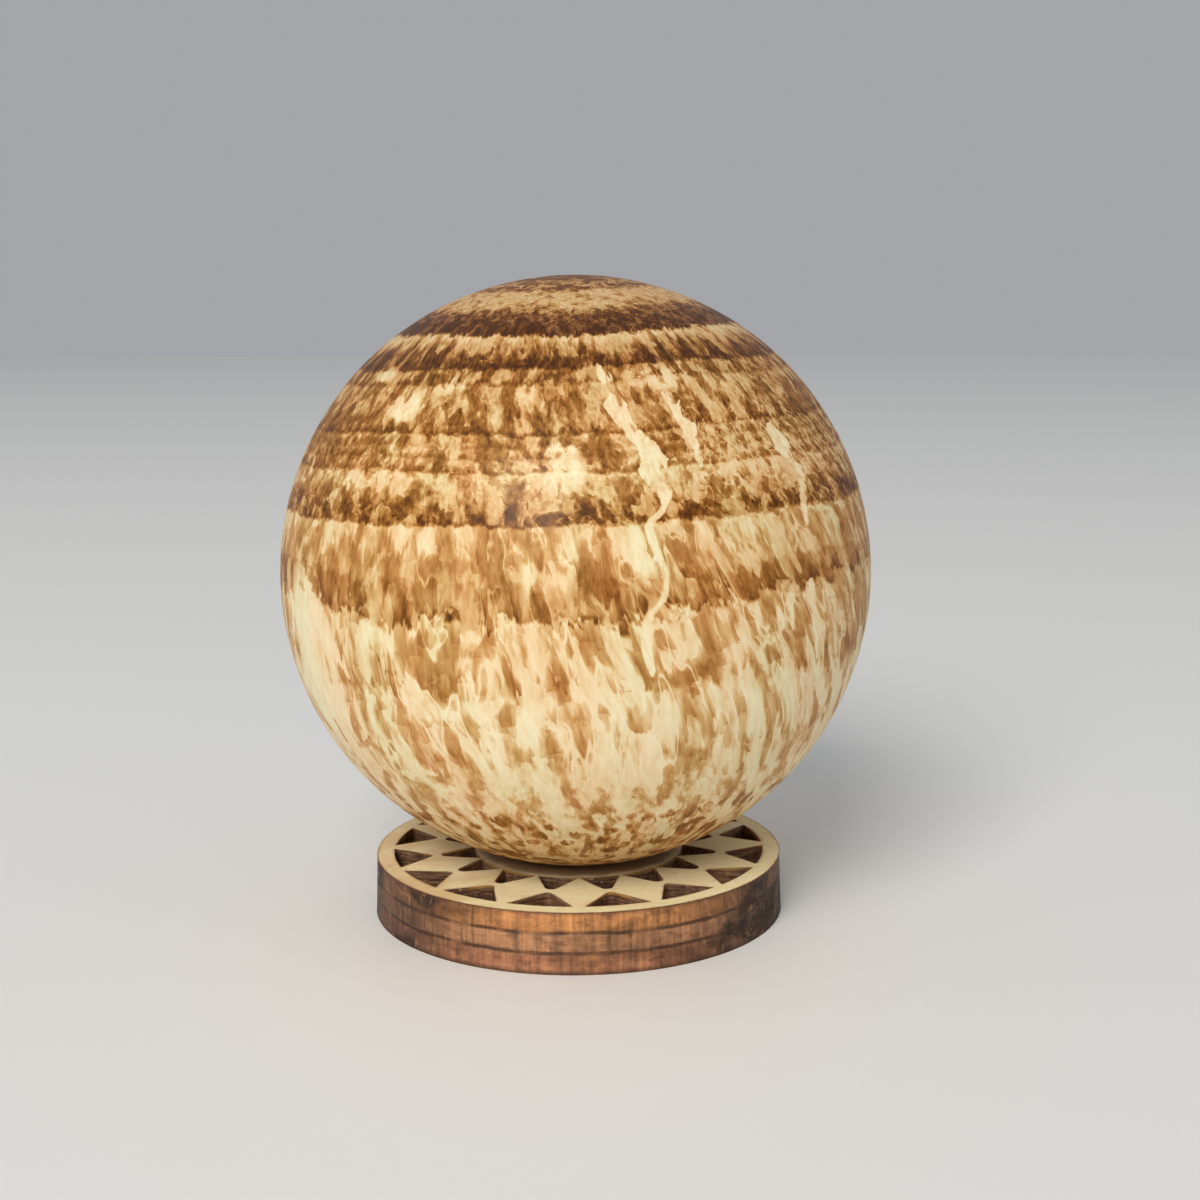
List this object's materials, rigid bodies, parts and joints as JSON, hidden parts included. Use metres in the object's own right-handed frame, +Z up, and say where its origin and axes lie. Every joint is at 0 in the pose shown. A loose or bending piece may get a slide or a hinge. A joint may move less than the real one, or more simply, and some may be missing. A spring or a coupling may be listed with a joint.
{
  "type": "decorative sphere",
  "caption": "Polished sphere of banded brown and cream stone resting on a small round laser-cut plywood stand with a pierced star of kites.",
  "frame": {"origin": "centre of the stand's underside, on the surface that it stands on", "axes": "+Z up, through the centres of the stand and the sphere; -Y is the front, where one kite of the star points straight at the viewer; +X is the viewer's right"},
  "size_m": [0.054, 0.054, 0.0589],
  "materials": {
    "stone": "polished",
    "plywood": "matte"
  },
  "bodies": {
    "root": {"sphere": "stone", "stand": "plywood"}
  },
  "joints": []
}
